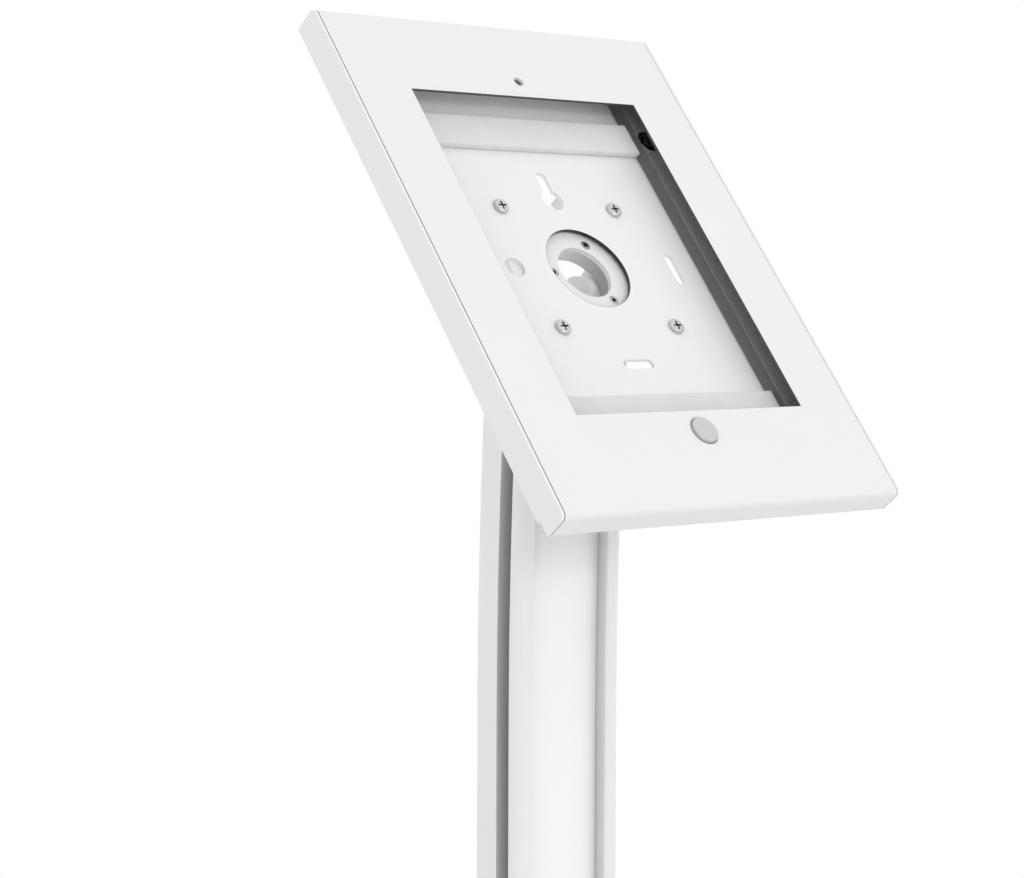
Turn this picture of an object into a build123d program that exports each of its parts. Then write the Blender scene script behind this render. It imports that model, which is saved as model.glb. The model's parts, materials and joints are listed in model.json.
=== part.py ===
# Locking tablet floor stand: a lockable sheet-steel tablet case on a swivel and tilt head,
# carried by a hollow aluminium post that is bolted to the floor under a sliding base cover.
# Units are millimetres and degrees. The origin is under the base, on the axis of the post.
# +Z is up, -Y is the side that the tablet faces, and +X is to the right seen from there.

from build123d import *
from math import cos, degrees, radians, sin
import os

os.makedirs("parts", exist_ok=True)

# Clearances and common shapes
sheet_gap = 0.4          # between the cover and the shell that it closes
running_gap = 0.1        # beside a face or a journal that turns
seat_gap = 0.3           # between a soft or loose piece and its seat
slide_gap = 0.5          # between the base cover and the post
countersink_angle = 90.0

# Base
base_pad_radius = 65.0
base_pad_height = 2.0
floor_plate_radius = 61.0
floor_plate_height = 6.0
floor_plate_chamfer = 1.0
anchor_circle_radius = 50.0
anchor_hole_radius = 4.5
anchor_count = 4
anchor_start_angle = 45.0
spigot_height = 45.0
spigot_wall = 4.0

# Post section
post_width = 70.0
post_depth = 35.0
post_corner_radius = 6.0
post_wall = 3.0
channel_side = 10.5          # post beside the open channel along its front
channel_depth = 10.5
channel_lip_radius = 1.5
channel_web = 2.5
side_groove_width = 9.4
side_groove_depth = 8.0
side_groove_forward = 6.3    # from the middle of the post's depth towards the front
strip_thickness = 1.4
strip_leg_height = 1.3
strip_leg_thickness = 1.6
channel_width = post_width - 2 * channel_side

# Post height: a long straight run, then a gentle bend towards the user
bend_start_height = 747.0
bend_radius = 2500.0
bend_length = 183.0

# Base cover
cover_disc_radius = 67.0
cover_rim_height = 6.5
cover_rim_round = 3.5
cover_wall = 2.5
collar_foot_height = 11.0
collar_top_height = 32.0
collar_foot_growth = 13.5    # collar outline outside the post's outline, at its foot
collar_top_growth = 8.0
collar_top_round = 1.5
collar_flat_width = 16.0     # upright flats on the collar's sides, under the post's grooves
collar_flat_foot = 13.0

# Tilt joint
face_slope = 51.66           # slope of the tablet's face from horizontal, at rest
tilt_axis_rise = 21.0        # tilt axis above the end of the post
tilt_axis_depth = 43.9       # tilt axis behind the tablet's face
head_cap_thickness = 6.0
head_cap_round = 1.5
head_plug_length = 26.0
head_cable_half_width = 9.5
cheek_inner = 10.5
cheek_thickness = 7.0
knuckle_radius = 13.0
friction_washer_thickness = 1.0
friction_washer_radius = 12.0
ear_thickness = 7.5
ear_foot_half_width = 15.0
tilt_bolt_radius = 4.0
tilt_head_radius = 6.5
tilt_head_length = 6.0
tilt_head_chamfer = 0.6
tilt_socket_radius = 3.2
tilt_socket_depth = 3.5
tilt_nut_radius = 7.5
tilt_nut_length = 7.0

# Swivel joint
hub_bore_radius = 15.5
hub_neck_radius = 24.0
hub_flange_radius = 32.0
hub_flange_thickness = 4.0
hub_ring_radius = 28.0
hub_ring_thickness = 2.5
hub_ring_depth = 20.2        # front of the retaining ring behind the tablet's face
hub_screw_circle = 20.0
hub_screw_count = 3
hub_screw_start_angle = 60.0
hub_screw_head_radius = 2.6
hub_screw_radius = 1.5
hub_screw_length = 7.0
hub_screw_socket = 1.3
swivel_lip_thickness = 2.4
swivel_washer_thickness = 0.7
swivel_washer_radius = 31.0
swivel_plate_side = 96.0
swivel_plate_corner = 8.0
stop_pin_circle = 36.5
stop_pin_radius = 2.0
stop_pin_reach = 2.6
stop_lobe_radius = 5.5
stop_groove_depth = 3.0
swivel_limit = 90.0

# Tablet case
case_width = 221.4
case_top = 147.7             # along the face, above the swivel axis
case_bottom = 153.5          # along the face, below the swivel axis
case_depth = 18.7
cover_sheet = 1.5
shell_sheet = 2.0
side_sheet = 1.5
front_bend_radius = 3.5
rear_bend_radius = 4.4
cover_side_gap = 0.5
cover_top_depth = 11.0       # how far the cover's upper wall reaches back
window_side_margin = 36.8     # from the window to the side of the case
window_height = 197.0
window_drop = 0.9            # middle of the window below the swivel axis
window_corner = 0.6
lens_hole_radius = 2.8
lens_hole_rise = 108.1
button_drop = 111.25

# Openings in the shell
vesa_pitch = 75.0
hub_window_radius = 24.5
keyhole_round_radius = 6.4
keyhole_round_rise = 43.5
keyhole_clearance = 1.6        # left round the keyhole by the swivel plate's edge
keyhole_slot_width = 6.5
keyhole_slot_rise = 58.4
slot_length = 19.6
slot_width = 5.4
side_slot_offset = 59.0
lower_slot_drop = 59.5
round_hole_offset = 47.5
round_hole_radius = 5.8

# Screws that hold the shell to the swivel plate
vesa_screw_radius = 2.0
vesa_head_radius = 4.2
vesa_head_height = 2.1
vesa_head_round = 0.8
vesa_screw_length = 5.5
cross_length = 5.0
cross_width = 1.1
cross_depth = 1.1

# Pads and liners
pad_thickness = 4.3
pad_overhang = 1.6           # pads past the window's sides
pad_width = 20.2
upper_pad_rise = 74.7
lower_pad_drop = 80.1
pad_round = 0.4
liner_width = 20.0
liner_side_margin = 16.7     # from the liner to the side of the case
liner_bevel = 6.0
liner_half_length = 124.0
case_middle_drop = 2.0

# Cover hinge
hinge_knuckle_radius = 2.6
hinge_pin_radius = 1.25
hinge_rise = 4.9             # hinge pin above the lower edge of the case
hinge_segments = 7
hinge_side_gap = 0.3
hinge_overlap = 0.7          # of the cover's flange with its knuckles

# Lock
lock_side_margin = 23.4      # from the lock to the side of the case
lock_rise = 84.4
lock_hole_radius = 6.75
lock_flange_radius = 8.5
lock_flange_thickness = 2.5
lock_flange_chamfer = 0.8
lock_body_radius = 6.0
lock_plug_radius = 4.2
lock_plug_inset = 0.3
lock_square = 5.6
lock_nose_depth = 15.2
lock_ring_radius = 8.2
lock_ring_thickness = 0.9
key_slot_radius = 3.0
key_slot_width = 1.2
key_slot_depth = 2.4
cam_depth = 14.0
cam_thickness = 1.0
cam_reach = 17.0
cam_half_width = 4.0
cam_hub_radius = 5.2
cam_tip_round = 2.5
cam_screw_radius = 1.4
cam_screw_head_radius = 3.8
cam_screw_head_height = 1.0
cam_screw_chamfer = 0.3
cam_screw_length = 4.0
cam_pocket_ceiling = 13.7
cam_pocket_radius = 9.5
cam_pocket_side = 5.2
cam_pocket_reach = 18.4
keeper_side_margin = 13.2    # from the keeper to the side of the case
keeper_width = 6.0
keeper_stem_thickness = 1.5
keeper_stem_gap = 1.0
keeper_foot_gap = 0.2
keeper_length = 13.0
keeper_foot_thickness = 1.3
keeper_flange_length = 9.0
keeper_flange_thickness = 1.2

# Home button
button_radius = 7.5
button_proud = 1.2
button_dome_round = 0.9
button_flange_radius = 9.6
button_flange_thickness = 0.5
button_stem_radius = 3.6
button_stem_proud = 0.3
button_travel = 0.8
button_gap = 0.35
retainer_radius = 13.0
retainer_wall = 1.6
retainer_floor = 0.6
retainer_lobe_offset = 15.5
retainer_lobe_radius = 3.4
spring_thickness = 0.2
spring_inner = 5.4
spring_outer = 9.0

# Small screws that hold the post to its end fittings
end_screw_radius = 2.5
end_screw_head_radius = 4.6
end_screw_socket = 1.75
end_screw_length = 7.0
end_screw_offset = 14.0
end_screw_inset = 12.0

# Worked-out places
plate_top = base_pad_height + floor_plate_height
post_foot = plate_top
bend_angle = bend_length / bend_radius
post_top = Plane(
    origin=(
        0,
        -bend_radius * (1 - cos(bend_angle)),
        bend_start_height + bend_radius * sin(bend_angle),
    ),
    x_dir=(1, 0, 0),
    z_dir=(0, -sin(bend_angle), cos(bend_angle)),
)
post_base = Plane.XY.offset(post_foot)
tilt_plane = post_top.offset(tilt_axis_rise)
slope = radians(face_slope)
outward = Vector(0, -sin(slope), cos(slope))
face = Plane(
    origin=tilt_plane.origin + outward * tilt_axis_depth,
    x_dir=(1, 0, 0),
    z_dir=outward,
)
# Seen from the right: local x runs up the tablet's face, local y runs out of it
side = Plane(origin=face.origin, x_dir=face.y_dir, z_dir=face.x_dir)
tilt_side = Plane(origin=tilt_plane.origin, x_dir=face.y_dir, z_dir=face.x_dir)
cheek_side = Plane(origin=tilt_plane.origin, x_dir=post_top.y_dir, z_dir=post_top.x_dir)

shell_floor = case_depth - shell_sheet
pad_face = shell_floor - pad_thickness
channel_floor = -post_depth / 2 + channel_depth
hollow_front = channel_floor + channel_web
hollow_rear = post_depth / 2 - post_wall
groove_floor = post_width / 2 - side_groove_depth
hollow_half_width = groove_floor - post_wall
groove_rear = -side_groove_forward + side_groove_width / 2
spigot_width = 2 * (hollow_half_width - seat_gap)
spigot_depth = hollow_rear - hollow_front - 2 * seat_gap
spigot_middle = (hollow_rear + hollow_front) / 2
strip_face = channel_floor - strip_leg_height - strip_thickness
cheek_outer = cheek_inner + cheek_thickness
ear_inner = cheek_outer + friction_washer_thickness + running_gap
ear_outer = ear_inner + ear_thickness
ring_back = hub_ring_depth + hub_ring_thickness
lip_front = ring_back + running_gap
lip_back = lip_front + swivel_lip_thickness
flange_front = lip_back + swivel_washer_thickness + running_gap
flange_back = flange_front + hub_flange_thickness
case_inner = case_width / 2 - side_sheet
cover_half_width = case_inner - cover_side_gap
window_width = case_width - 2 * window_side_margin
pad_half_length = window_width / 2 + pad_overhang
liner_outer = case_width / 2 - liner_side_margin
liner_foot = liner_outer - liner_width
lock_offset = case_width / 2 - lock_side_margin
keeper_inner = case_width / 2 - keeper_side_margin
bend_start = case_width / 2 - rear_bend_radius      # where the side walls bend into the back
hinge_segment = 2 * (bend_start - running_gap) / hinge_segments
hinge_height = -case_bottom + hinge_rise
hinge_depth = case_depth - hinge_knuckle_radius
cover_bottom_depth = hinge_depth - hinge_knuckle_radius + hinge_overlap
shell_hinge_notch = hinge_rise + hinge_knuckle_radius + seat_gap
button_hole_radius = button_radius + button_gap
flange_depth = cover_sheet + running_gap
retainer_depth = (
    flange_depth + button_flange_thickness + button_travel + spring_thickness + running_gap
)


def at_depth(depth):
    """The plane parallel to the tablet's face, this far behind it."""
    return face.offset(-depth)


def finish(piece, name):
    """Label one finished piece and write its file."""
    piece.part.label = name
    export_step(piece.part, f"parts/{name}.step")


def rear_of(frame, distance):
    """A plane that looks out of the back of the post, this far behind the frame's middle."""
    return Plane(
        origin=frame.origin + frame.y_dir * distance, x_dir=frame.x_dir * -1, z_dir=frame.y_dir
    )


def hinge_places(first):
    """Middles of every second hinge segment, along the hinge, starting at this one."""
    start = -hinge_segment * (hinge_segments - 1) / 2
    return [start + hinge_segment * index for index in range(first, hinge_segments, 2)]


# Base: pad, floor plate with its spigot, and the cover that hides both

def anchor_places():
    """Where the bolts into the floor go."""
    return PolarLocations(anchor_circle_radius, anchor_count, start_angle=anchor_start_angle)


with BuildPart() as base_pad:
    with BuildSketch():
        Circle(base_pad_radius)
        with anchor_places():
            Circle(anchor_hole_radius, mode=Mode.SUBTRACT)
        with Locations((0, spigot_middle)):
            Rectangle(
                spigot_width - 2 * spigot_wall, spigot_depth - 2 * spigot_wall, mode=Mode.SUBTRACT
            )
    extrude(amount=base_pad_height)
finish(base_pad, "base_pad")

with BuildPart() as floor_plate:
    with BuildSketch(Plane.XY.offset(base_pad_height)):
        Circle(floor_plate_radius)
    extrude(amount=floor_plate_height)
    chamfer(faces().sort_by(Axis.Z)[-1].edges(), length=floor_plate_chamfer)
    with BuildSketch(Plane.XY.offset(plate_top)):
        with Locations((0, spigot_middle)):
            RectangleRounded(spigot_width, spigot_depth, post_wall)
    extrude(amount=spigot_height)
    with BuildSketch(Plane.XY.offset(base_pad_height)):
        with Locations((0, spigot_middle)):
            RectangleRounded(
                spigot_width - 2 * spigot_wall, spigot_depth - 2 * spigot_wall, spigot_wall / 2
            )
    extrude(amount=floor_plate_height + spigot_height, mode=Mode.SUBTRACT)
    with Locations(Plane.XY.offset(plate_top)):
        with anchor_places():
            Hole(anchor_hole_radius, depth=floor_plate_height)
    with Locations(rear_of(post_base, hollow_rear)):
        with Locations((end_screw_offset, end_screw_inset), (-end_screw_offset, end_screw_inset)):
            Hole(end_screw_radius, depth=spigot_wall + 2 * seat_gap)
finish(floor_plate, "floor_plate")


def collar_outline(growth):
    """The post's outline grown by this much all round."""
    return RectangleRounded(
        post_width + 2 * growth, post_depth + 2 * growth, post_corner_radius + growth
    )


def flat_places(distance):
    """Points in line with the post's grooves, this far outside both of its sides."""
    place = post_width / 2 + distance
    return (place, -side_groove_forward), (-place, -side_groove_forward)


cover_foot = base_pad_height + seat_gap
cover_rim_top = cover_foot + cover_rim_height

with BuildPart() as base_cover:
    with BuildSketch(Plane.XZ):
        with BuildLine():
            Polyline(
                (0, cover_foot),
                (cover_disc_radius, cover_foot),
                (cover_disc_radius, cover_rim_top),
                (post_width / 2 + collar_foot_growth, collar_foot_height),
                (0, collar_foot_height),
                close=True,
            )
        make_face()
        fillet(vertices().group_by(Axis.X)[-1].sort_by(Axis.Y)[-1], radius=cover_rim_round)
    revolve(axis=Axis.Z)
    with BuildSketch(Plane.XY.offset(collar_foot_height - cover_wall)):
        collar_outline(collar_foot_growth)
    with BuildSketch(Plane.XY.offset(collar_top_height)):
        collar_outline(collar_top_growth)
    loft()
    fillet(faces().sort_by(Axis.Z)[-1].edges(), radius=collar_top_round)
    with BuildSketch(Plane.XY.offset(cover_foot)):
        Circle(cover_disc_radius - cover_wall)
    extrude(amount=plate_top + seat_gap - cover_foot, mode=Mode.SUBTRACT)
    with BuildSketch(Plane.XY.offset(plate_top)):
        collar_outline(collar_foot_growth - cover_wall)
    with BuildSketch(Plane.XY.offset(collar_top_height - cover_wall)):
        collar_outline(collar_top_growth - cover_wall)
    loft(mode=Mode.SUBTRACT)
    with BuildSketch(Plane.XY.offset(collar_flat_foot - cover_wall)):
        with Locations(*flat_places(0)):
            Rectangle(2 * collar_top_growth, collar_flat_width + 2 * cover_wall)
    extrude(amount=collar_top_height - collar_top_round - collar_flat_foot + cover_wall)
    with BuildSketch(Plane.XY.offset(collar_flat_foot)):
        with Locations(*flat_places(2 * collar_top_growth)):
            Rectangle(2 * collar_top_growth, collar_flat_width)
    extrude(amount=collar_top_height, mode=Mode.SUBTRACT)
    with BuildSketch(Plane.XY.offset(plate_top)):
        collar_outline(slide_gap)
    extrude(amount=collar_top_height, mode=Mode.SUBTRACT)
finish(base_cover, "base_cover")


# Post: one hollow extrusion with a front channel and a groove down each side

def post_route():
    """The post's own axis: straight, then bent gently towards the user."""
    Line((0, post_foot), (0, bend_start_height))
    JernArc(
        start=(0, bend_start_height),
        tangent=(0, 1),
        radius=bend_radius,
        arc_size=degrees(bend_angle),
    )


with BuildPart() as post:
    with BuildLine(Plane.YZ):
        post_route()
    with BuildSketch(Plane.XY.offset(post_foot)):
        RectangleRounded(post_width, post_depth, post_corner_radius)
        with Locations((0, -post_depth / 2 + channel_depth / 2)):
            Rectangle(channel_width, channel_depth, mode=Mode.SUBTRACT)
        with Locations((post_width / 2, -side_groove_forward), (-post_width / 2, -side_groove_forward)):
            Rectangle(2 * side_groove_depth, side_groove_width, mode=Mode.SUBTRACT)
        with Locations((0, (hollow_front + hollow_rear) / 2)):
            Rectangle(2 * hollow_half_width, hollow_rear - hollow_front, mode=Mode.SUBTRACT)
        with Locations((0, (groove_rear + post_wall + hollow_rear) / 2)):
            Rectangle(
                post_width - 2 * post_wall, hollow_rear - groove_rear - post_wall, mode=Mode.SUBTRACT
            )
        channel_lips = vertices().group_by(Axis.Y)[0].sort_by(Axis.X)[1:3]
        fillet(channel_lips, radius=channel_lip_radius)
    sweep()
    for end, height in ((post_base, end_screw_inset), (post_top, -end_screw_inset)):
        with Locations(rear_of(end, post_depth / 2)):
            with Locations((end_screw_offset, height), (-end_screw_offset, height)):
                CounterSinkHole(
                    end_screw_radius + running_gap, end_screw_head_radius + running_gap,
                    depth=post_wall + seat_gap, counter_sink_angle=countersink_angle,
                )
finish(post, "post")

with BuildPart() as post_cover_strip:
    with BuildLine(Plane.YZ):
        post_route()
    with BuildSketch(Plane.XY.offset(post_foot)):
        with Locations((0, strip_face + strip_thickness / 2)):
            Rectangle(channel_width - 2 * running_gap, strip_thickness)
        leg_middle = channel_width / 2 - running_gap - strip_leg_thickness / 2
        with Locations((leg_middle, channel_floor - strip_leg_height / 2),
                       (-leg_middle, channel_floor - strip_leg_height / 2)):
            Rectangle(strip_leg_thickness, strip_leg_height)
    sweep()
finish(post_cover_strip, "post_cover_strip")


def end_screws(frame, height, name):
    """Two countersunk screws through the back of the post into an end fitting."""
    with BuildPart() as screws:
        cone_height = end_screw_head_radius - end_screw_radius
        with BuildSketch(rear_of(frame, post_depth / 2)):
            with Locations((end_screw_offset, height), (-end_screw_offset, height)):
                Circle(end_screw_head_radius)
        extrude(amount=-cone_height, taper=countersink_angle / 2)
        with BuildSketch(rear_of(frame, post_depth / 2)):
            with Locations((end_screw_offset, height), (-end_screw_offset, height)):
                Circle(end_screw_radius - running_gap)
        extrude(amount=-end_screw_length)
        with BuildSketch(rear_of(frame, post_depth / 2)):
            with Locations((end_screw_offset, height), (-end_screw_offset, height)):
                RegularPolygon(end_screw_socket, 6)
        extrude(amount=-cone_height, mode=Mode.SUBTRACT)
    finish(screws, name)


end_screws(post_base, end_screw_inset, "post_foot_screws")
end_screws(post_top, -end_screw_inset, "post_head_screws")


# Tilt joint: the post head with two cheeks, and the hub with two ears around them


def both_sides(distance, thickness):
    """Distances along X where a pair of plates of this thickness starts, mirrored about the middle."""
    return (distance, -distance - thickness)


with BuildPart() as post_head:
    with BuildSketch(post_top):
        RectangleRounded(post_width, post_depth, post_corner_radius)
    extrude(amount=head_cap_thickness)
    fillet(faces().sort_by(Axis.Z)[-1].edges(), radius=head_cap_round)
    with BuildSketch(post_top):
        with Locations((0, spigot_middle)):
            RectangleRounded(spigot_width, spigot_depth, post_wall)
    extrude(amount=-head_plug_length)
    for start in both_sides(cheek_inner, cheek_thickness):
        with BuildSketch(cheek_side.offset(start)):
            Circle(knuckle_radius)
            with Locations((0, -tilt_axis_rise / 2)):
                Rectangle(2 * knuckle_radius, tilt_axis_rise)
        extrude(amount=cheek_thickness)
    with BuildSketch(cheek_side.offset(-cheek_outer)):
        Circle(tilt_bolt_radius + running_gap)
    extrude(amount=2 * cheek_outer, mode=Mode.SUBTRACT)
    with BuildSketch(post_top.offset(-head_plug_length)):
        with Locations((0, spigot_middle)):
            RectangleRounded(
                2 * head_cable_half_width, spigot_depth - 2 * spigot_wall, spigot_wall / 2
            )
    extrude(amount=head_plug_length + head_cap_thickness, mode=Mode.SUBTRACT)
    with Locations(rear_of(post_top, hollow_rear)):
        with Locations((end_screw_offset, -end_screw_inset), (-end_screw_offset, -end_screw_inset)):
            Hole(end_screw_radius, depth=spigot_wall + 2 * seat_gap)
finish(post_head, "post_head")

hub_half_height = tilt_axis_depth - flange_back


def hub_screw_places():
    """Where the screws that hold the retaining ring on the hub go."""
    return PolarLocations(hub_screw_circle, hub_screw_count, start_angle=hub_screw_start_angle)


with BuildPart() as tilt_hub:
    with BuildSketch(at_depth(flange_back)):
        Circle(hub_flange_radius)
        with Locations((0, -stop_pin_circle)):
            Circle(stop_lobe_radius)
        with Locations((0, -stop_pin_circle + stop_lobe_radius)):
            Rectangle(2 * stop_lobe_radius, 2 * stop_lobe_radius)
    extrude(amount=hub_flange_thickness)
    with BuildSketch(at_depth(flange_front)):
        Circle(hub_neck_radius)
    extrude(amount=flange_front - ring_back)
    for start in both_sides(ear_inner, ear_thickness):
        with BuildSketch(tilt_side.offset(start)):
            Circle(knuckle_radius)
            with BuildLine():
                Polyline(
                    (-knuckle_radius, 0),
                    (knuckle_radius, 0),
                    (ear_foot_half_width, hub_half_height),
                    (-ear_foot_half_width, hub_half_height),
                    close=True,
                )
            make_face()
        extrude(amount=ear_thickness)
    with BuildSketch(tilt_side.offset(-ear_outer)):
        Circle(tilt_bolt_radius + running_gap)
    extrude(amount=2 * ear_outer, mode=Mode.SUBTRACT)
    with BuildSketch(at_depth(flange_back)):
        Circle(hub_bore_radius)
    extrude(amount=flange_back - ring_back, mode=Mode.SUBTRACT)
    with Locations(at_depth(ring_back)):
        with hub_screw_places():
            Hole(hub_screw_radius, depth=hub_screw_length)
    with Locations(at_depth(flange_front)):
        with Locations((0, -stop_pin_circle)):
            Hole(stop_pin_radius, depth=hub_flange_thickness)
finish(tilt_hub, "tilt_hub")

with BuildPart() as tilt_bolt:
    with BuildSketch(tilt_side.offset(-ear_outer - running_gap - tilt_nut_length)):
        Circle(tilt_bolt_radius)
    extrude(amount=2 * ear_outer + 2 * running_gap + tilt_nut_length)
    with BuildSketch(tilt_side.offset(ear_outer + running_gap)):
        Circle(tilt_head_radius)
    extrude(amount=tilt_head_length)
    chamfer(faces().sort_by(Axis.X)[-1].edges(), length=tilt_head_chamfer)
    with BuildSketch(tilt_side.offset(ear_outer + running_gap + tilt_head_length)):
        RegularPolygon(tilt_socket_radius, 6)
    extrude(amount=-tilt_socket_depth, mode=Mode.SUBTRACT)
finish(tilt_bolt, "tilt_bolt")

with BuildPart() as tilt_nut:
    with BuildSketch(tilt_side.offset(-ear_outer - running_gap - tilt_nut_length)):
        RegularPolygon(tilt_nut_radius, 6)
        Circle(tilt_bolt_radius, mode=Mode.SUBTRACT)
    extrude(amount=tilt_nut_length)
finish(tilt_nut, "tilt_nut")

with BuildPart() as tilt_friction_washers:
    washer_clearance = running_gap / 2
    for start in both_sides(cheek_outer + washer_clearance, friction_washer_thickness):
        with BuildSketch(tilt_side.offset(start)):
            Circle(friction_washer_radius)
            Circle(tilt_bolt_radius + running_gap, mode=Mode.SUBTRACT)
        extrude(amount=friction_washer_thickness)
finish(tilt_friction_washers, "tilt_friction_washers")


# Swivel joint: the plate that carries the case turns on the hub's neck, behind a screwed ring

with BuildPart() as hub_ring:
    with BuildSketch(at_depth(ring_back)):
        Circle(hub_ring_radius)
        Circle(hub_bore_radius, mode=Mode.SUBTRACT)
    extrude(amount=hub_ring_thickness)
    with Locations(at_depth(hub_ring_depth)):
        with hub_screw_places():
            CounterSinkHole(
                hub_screw_radius + running_gap, hub_screw_head_radius + running_gap,
                counter_sink_angle=countersink_angle,
            )
finish(hub_ring, "hub_ring")

with BuildPart() as hub_screws:
    with BuildSketch(at_depth(hub_ring_depth)):
        with hub_screw_places():
            Circle(hub_screw_head_radius)
    extrude(amount=-(hub_screw_head_radius - hub_screw_radius), taper=countersink_angle / 2)
    with BuildSketch(at_depth(hub_ring_depth)):
        with hub_screw_places():
            Circle(hub_screw_radius - running_gap)
    extrude(amount=-hub_screw_length)
    with BuildSketch(at_depth(hub_ring_depth)):
        with hub_screw_places():
            RegularPolygon(hub_screw_socket, 6)
    extrude(amount=-hub_screw_head_radius / 2, mode=Mode.SUBTRACT)
finish(hub_screws, "hub_screws")

with BuildPart() as swivel_stop_pin:
    with BuildSketch(at_depth(flange_back)):
        with Locations((0, -stop_pin_circle)):
            Circle(stop_pin_radius)
    extrude(amount=flange_back - lip_back + stop_pin_reach)
finish(swivel_stop_pin, "swivel_stop_pin")

with BuildPart() as swivel_washer:
    with BuildSketch(at_depth(flange_front - running_gap / 2)):
        Circle(swivel_washer_radius)
        Circle(hub_neck_radius + running_gap, mode=Mode.SUBTRACT)
    extrude(amount=swivel_washer_thickness)
finish(swivel_washer, "swivel_washer")

stop_route = CenterArc((0, 0), stop_pin_circle, 270 - swivel_limit, 2 * swivel_limit)

with BuildPart() as swivel_plate:
    with BuildSketch(at_depth(lip_back)):
        RectangleRounded(swivel_plate_side, swivel_plate_side, swivel_plate_corner)
        Circle(hub_neck_radius + running_gap, mode=Mode.SUBTRACT)
        with Locations((0, keyhole_round_rise)):
            Circle(keyhole_round_radius + keyhole_clearance, mode=Mode.SUBTRACT)
    extrude(amount=lip_back - case_depth)
    with BuildSketch(at_depth(case_depth)):
        Circle(hub_ring_radius + 2 * seat_gap)
    extrude(amount=-(lip_front - case_depth), mode=Mode.SUBTRACT)
    with BuildSketch(at_depth(lip_back)):
        SlotArc(stop_route, 2 * (stop_pin_radius + seat_gap))
    extrude(amount=stop_groove_depth, mode=Mode.SUBTRACT)
    with Locations(at_depth(case_depth)):
        with GridLocations(vesa_pitch, vesa_pitch, 2, 2):
            Hole(vesa_screw_radius, depth=lip_back - case_depth)
finish(swivel_plate, "swivel_plate")


# Tablet case: the shell behind, the cover in front, and the hinge that joins their lower edges

shell_top = case_top - cover_sheet - sheet_gap
lip_start = cover_top_depth + sheet_gap


def hinge_knuckle(place):
    """One hinge knuckle round the hinge pin, centred at this place along X."""
    with Locations(side.offset(place)):
        with Locations((hinge_height, -hinge_depth)):
            Cylinder(hinge_knuckle_radius, hinge_segment - hinge_side_gap)


def shell_cavity():
    """The space inside the shell, with a joggled upper wall and rounded bends at the back."""
    with BuildPart() as cavity:
        with BuildSketch(side.offset(-case_inner)):
            with BuildLine():
                Polyline(
                    (-2 * case_bottom, -shell_floor),
                    (case_top - shell_sheet, -shell_floor),
                    (case_top - shell_sheet, -lip_start - shell_sheet),
                    (shell_top - shell_sheet, -lip_start - shell_sheet),
                    (shell_top - shell_sheet, case_depth),
                    (-2 * case_bottom, case_depth),
                    close=True,
                )
            make_face()
        extrude(amount=2 * case_inner)
        floor_edges = faces().sort_by(Axis(face.origin, outward))[0].edges()
        fillet(
            floor_edges.sort_by(Axis(face.origin, face.y_dir))[1:],
            radius=rear_bend_radius - shell_sheet,
        )
    return cavity.part


with BuildPart() as back_shell:
    with BuildSketch(side.offset(-case_width / 2)):
        with BuildLine():
            Polyline(
                (-case_bottom, 0),
                (case_top, 0),
                (case_top, -case_depth),
                (-case_bottom, -case_depth),
                close=True,
            )
        make_face()
        fillet(vertices().group_by(Axis.Y)[-1], radius=front_bend_radius)
    extrude(amount=case_width)
    rear_edges = faces().sort_by(Axis(face.origin, outward))[0].edges()
    fillet(rear_edges.sort_by(Axis(face.origin, face.y_dir))[1:], radius=rear_bend_radius)
    add(shell_cavity(), mode=Mode.SUBTRACT)
    with BuildSketch(side.offset(-case_inner)):
        Rectangle(4 * case_bottom, 2 * front_bend_radius)
        with Locations((case_top, 0)):
            Rectangle(2 * (case_top - shell_top), 2 * lip_start)
    extrude(amount=2 * case_inner, mode=Mode.SUBTRACT)
    with BuildSketch(at_depth(case_depth)):
        with Locations((0, -case_bottom)):
            Rectangle(case_width, 2 * shell_hinge_notch)
    extrude(amount=rear_bend_radius, mode=Mode.SUBTRACT)
    with BuildSketch(at_depth(case_depth)):
        Circle(hub_window_radius)
        with Locations((0, keyhole_round_rise)):
            Circle(keyhole_round_radius)
        with Locations((0, (keyhole_round_rise + keyhole_slot_rise) / 2)):
            SlotCenterToCenter(
                keyhole_slot_rise - keyhole_round_rise, keyhole_slot_width, rotation=90
            )
        with Locations((side_slot_offset, 0)):
            SlotOverall(slot_length, slot_width, rotation=90)
        with Locations((0, -lower_slot_drop)):
            SlotOverall(slot_length, slot_width)
        with Locations((-round_hole_offset, 0)):
            Circle(round_hole_radius)
        with Locations((lock_offset, lock_rise)):
            Circle(lock_body_radius + running_gap)
        with GridLocations(vesa_pitch, vesa_pitch, 2, 2):
            Circle(vesa_screw_radius + seat_gap)
    extrude(amount=shell_sheet, mode=Mode.SUBTRACT)
    for place in hinge_places(0):
        hinge_knuckle(place)
        with BuildSketch(at_depth(case_depth)):
            with Locations((place, -case_bottom + (shell_hinge_notch + hinge_rise) / 2)):
                Rectangle(hinge_segment - hinge_side_gap, shell_hinge_notch - hinge_rise)
        extrude(amount=shell_sheet)
    with BuildSketch(side.offset(-bend_start)):
        with Locations((hinge_height, -hinge_depth)):
            Circle(hinge_pin_radius + running_gap / 2)
    extrude(amount=2 * bend_start, mode=Mode.SUBTRACT)
finish(back_shell, "back_shell")

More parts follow.
